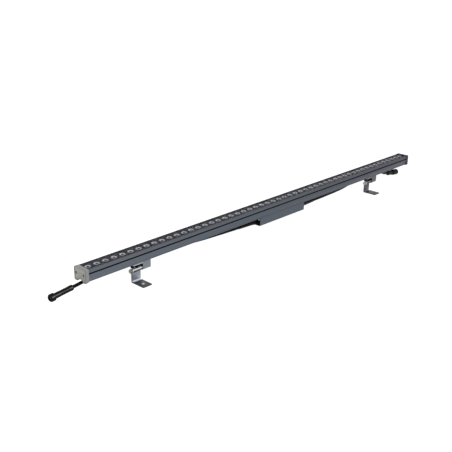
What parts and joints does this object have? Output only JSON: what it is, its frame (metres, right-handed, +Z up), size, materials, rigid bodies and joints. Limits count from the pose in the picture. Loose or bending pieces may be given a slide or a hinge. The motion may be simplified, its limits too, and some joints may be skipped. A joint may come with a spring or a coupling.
{
  "type": "led linear light",
  "caption": "Slim outdoor linear light: a dark aluminium bar with one row of lensed LEDs, a driver box beneath, cable leads at both ends and two hinged feet that slide in its slot.",
  "frame": {"origin": "centre of the standing light's outline on the surface under its soles", "axes": "+X along the bar, +Z up through the light face, -Y the way the soles point"},
  "size_m": [1.0608, 0.0448, 0.0643],
  "materials": {
    "anodised_bar": "dark blue-grey anodised, satin",
    "cap_metal": "light warm grey, fine sand-cast satin",
    "clear_glass": "clear, polished",
    "black_rubber": "soft matt",
    "black_strip": "gloss black",
    "lens_clear": "clear moulded optic, polished",
    "chip_ceramic": "pale with yellow coating",
    "board": "white solder mask",
    "driver_board": "green solder mask",
    "winding": "yellow tape over copper",
    "capacitor_sleeve": "shrunk sleeve",
    "stainless": "brushed",
    "zinc_steel": "bright zinc plated",
    "black_steel": "black oxide",
    "clamp_metal": "clear anodised, satin",
    "lead_jacket": "satin black jacket",
    "connector_black": "moulded black",
    "contact_brass": "gold-flashed",
    "wire_red": "thin insulation"
  },
  "bodies": {
    "light": {"housing_profile": "anodised_bar", "glass_cover": "clear_glass", "glass_seal": "black_rubber", "lens_strip": "black_strip", "lenses": "lens_clear", "led_chips": "chip_ceramic", "circuit_board": "board", "end_cap_screws": "stainless", "driver_case": "anodised_bar", "driver_end_screws": "stainless", "driver_board": "driver_board", "driver_transformer": "winding", "driver_capacitors": "capacitor_sleeve", "driver_fixing_screws": "stainless", "driver_slot_nuts": "stainless", "supply_wires": "wire_red", "wire_grommet": "black_rubber", "lead_left": "lead_jacket", "lead_right": "lead_jacket", "male_connector_body": "connector_black", "male_connector_ring": "connector_black", "male_connector_contacts": "contact_brass", "female_connector_body": "connector_black", "end_cap_left": "cap_metal", "end_cap_right": "cap_metal", "end_gasket_left": "black_rubber", "end_gasket_right": "black_rubber", "driver_end_plate_left": "black_steel", "driver_end_plate_right": "black_steel", "gland_left": "connector_black", "gland_right": "connector_black", "gland_locknut_left": "connector_black", "gland_locknut_right": "connector_black", "strain_relief_left": "lead_jacket", "strain_relief_right": "lead_jacket"},
    "clamp_left": {"clamp_left": "clamp_metal", "clamp_nut_left": "black_steel", "clamp_screw_left": "black_steel", "pivot_bolt_left": "zinc_steel", "pivot_washer_left": "zinc_steel", "pivot_nut_left": "zinc_steel"},
    "foot_left": {"foot_left": "zinc_steel"},
    "clamp_right": {"clamp_right": "clamp_metal", "clamp_nut_right": "black_steel", "clamp_screw_right": "black_steel", "pivot_bolt_right": "zinc_steel", "pivot_washer_right": "zinc_steel", "pivot_nut_right": "zinc_steel"},
    "foot_right": {"foot_right": "zinc_steel"},
    "coupling_nut": {"female_coupling_nut": "connector_black"}
  },
  "joints": [
    {"name": "clamp_left_slide", "type": "slide", "parent": "light", "child": "clamp_left", "axis": [1, 0, 0], "range_m": [-0.015, 0.015]},
    {"name": "clamp_right_slide", "type": "slide", "parent": "light", "child": "clamp_right", "axis": [1, 0, 0], "range_m": [-0.012, 0.003]},
    {"name": "foot_left_tilt", "type": "hinge", "parent": "clamp_left", "child": "foot_left", "pos_m": [-0.37905, 0.00705, 0.0241], "axis": [1, 0, 0], "range_deg": [-90, 90]},
    {"name": "foot_right_tilt", "type": "hinge", "parent": "clamp_right", "child": "foot_right", "pos_m": [0.34541, 0.00705, 0.0241], "axis": [1, 0, 0], "range_deg": [-90, 90]},
    {"name": "coupling_nut_spin", "type": "hinge", "parent": "light", "child": "coupling_nut", "pos_m": [0.46772, 0.00705, 0.02447], "axis": [0.9925, 0, -0.1219], "continuous": true}
  ]
}
